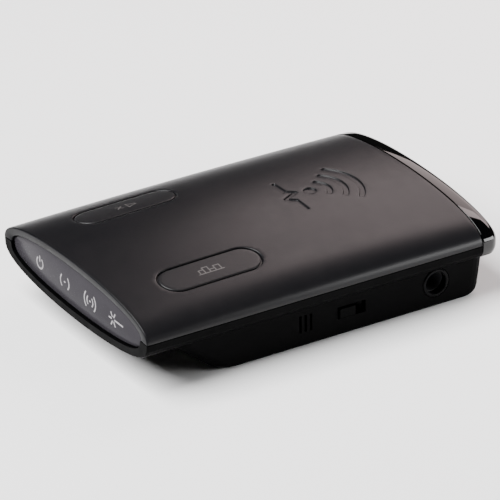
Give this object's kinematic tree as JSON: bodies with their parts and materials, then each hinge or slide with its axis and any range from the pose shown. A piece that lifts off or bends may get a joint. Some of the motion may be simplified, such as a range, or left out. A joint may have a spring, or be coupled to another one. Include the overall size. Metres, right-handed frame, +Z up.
{
  "type": "radar detector",
  "caption": "Slim almond-section windscreen radar detector with a display window, push buttons, a side power socket and slide switch, and its electronics inside.",
  "frame": {"origin": "middle of the underside, on the surface that it stands on", "axes": "+Z up; +Y towards the glossy nose that faces the road; -Y towards the display that faces the driver; +X towards the side with the power socket and the slide switch"},
  "size_m": [0.072, 0.1054, 0.0246],
  "materials": {
    "satin_charcoal": "satin soft-touch plastic, warm charcoal",
    "housing_black": "fine-textured black plastic",
    "gloss_black": "polished piano-black plastic",
    "smoke_lens": "polished smoke-grey acrylic, printed behind",
    "clear_acrylic": "clear, polished",
    "white_resin": "moulded white",
    "board_green": "solder-masked glass epoxy",
    "die_cast": "die-cast, as cast",
    "tin_plate": "tin-plated pressed steel",
    "screw_steel": "zinc-plated",
    "chip_resin": "moulded black epoxy",
    "capacitor_sleeve": "shrink sleeve over an aluminium can",
    "ferrite": "sintered, unfinished",
    "speaker_paper": "pressed paper",
    "plate_silver": "brushed label stock, blank",
    "socket_ring": "satin nickel plate"
  },
  "bodies": {
    "case": {"bottom_case": "housing_black", "top_cover": "satin_charcoal", "display_mask": "housing_black", "nose_cap": "gloss_black", "display_lens": "smoke_lens", "light_guide_1": "clear_acrylic", "light_guide_2": "clear_acrylic", "light_guide_3": "clear_acrylic", "light_guide_4": "clear_acrylic", "laser_lens": "clear_acrylic", "indicator_led_1": "white_resin", "indicator_led_2": "white_resin", "indicator_led_3": "white_resin", "indicator_led_4": "white_resin", "main_board": "board_green", "display_board": "board_green", "rf_board": "board_green", "horn_antenna": "die_cast", "rf_shield": "tin_plate", "crystal": "tin_plate", "speaker_frame": "tin_plate", "socket_pin": "tin_plate", "case_screw_1": "screw_steel", "case_screw_2": "screw_steel", "case_screw_3": "screw_steel", "case_screw_4": "screw_steel", "board_screw_1": "screw_steel", "board_screw_2": "screw_steel", "board_screw_3": "screw_steel", "board_screw_4": "screw_steel", "processor": "chip_resin", "memory": "chip_resin", "regulator": "chip_resin", "display_header": "chip_resin", "city_switch": "chip_resin", "mute_switch": "chip_resin", "switch_body": "chip_resin", "socket_body": "chip_resin", "laser_sensor": "chip_resin", "capacitor_1": "capacitor_sleeve", "capacitor_2": "capacitor_sleeve", "inductor": "ferrite", "speaker_magnet": "ferrite", "speaker_cone": "speaker_paper", "rating_plate": "plate_silver", "socket_ring": "socket_ring"},
    "city_key": {"city_button": "satin_charcoal", "city_plunger": "white_resin"},
    "mute_key": {"mute_button": "satin_charcoal", "mute_plunger": "white_resin"},
    "switch_slider": {"switch_knob": "housing_black"}
  },
  "joints": [
    {"name": "city_press", "type": "slide", "parent": "case", "child": "city_key", "axis": [0, 0, -1], "range_m": [0, 0.0006], "stiffness_N_per_m": 2700},
    {"name": "mute_press", "type": "slide", "parent": "case", "child": "mute_key", "axis": [0, 0, -1], "range_m": [0, 0.0006], "stiffness_N_per_m": 2700},
    {"name": "switch_slide", "type": "slide", "parent": "case", "child": "switch_slider", "axis": [0, 1, 0], "range_m": [0, 0.003]}
  ]
}
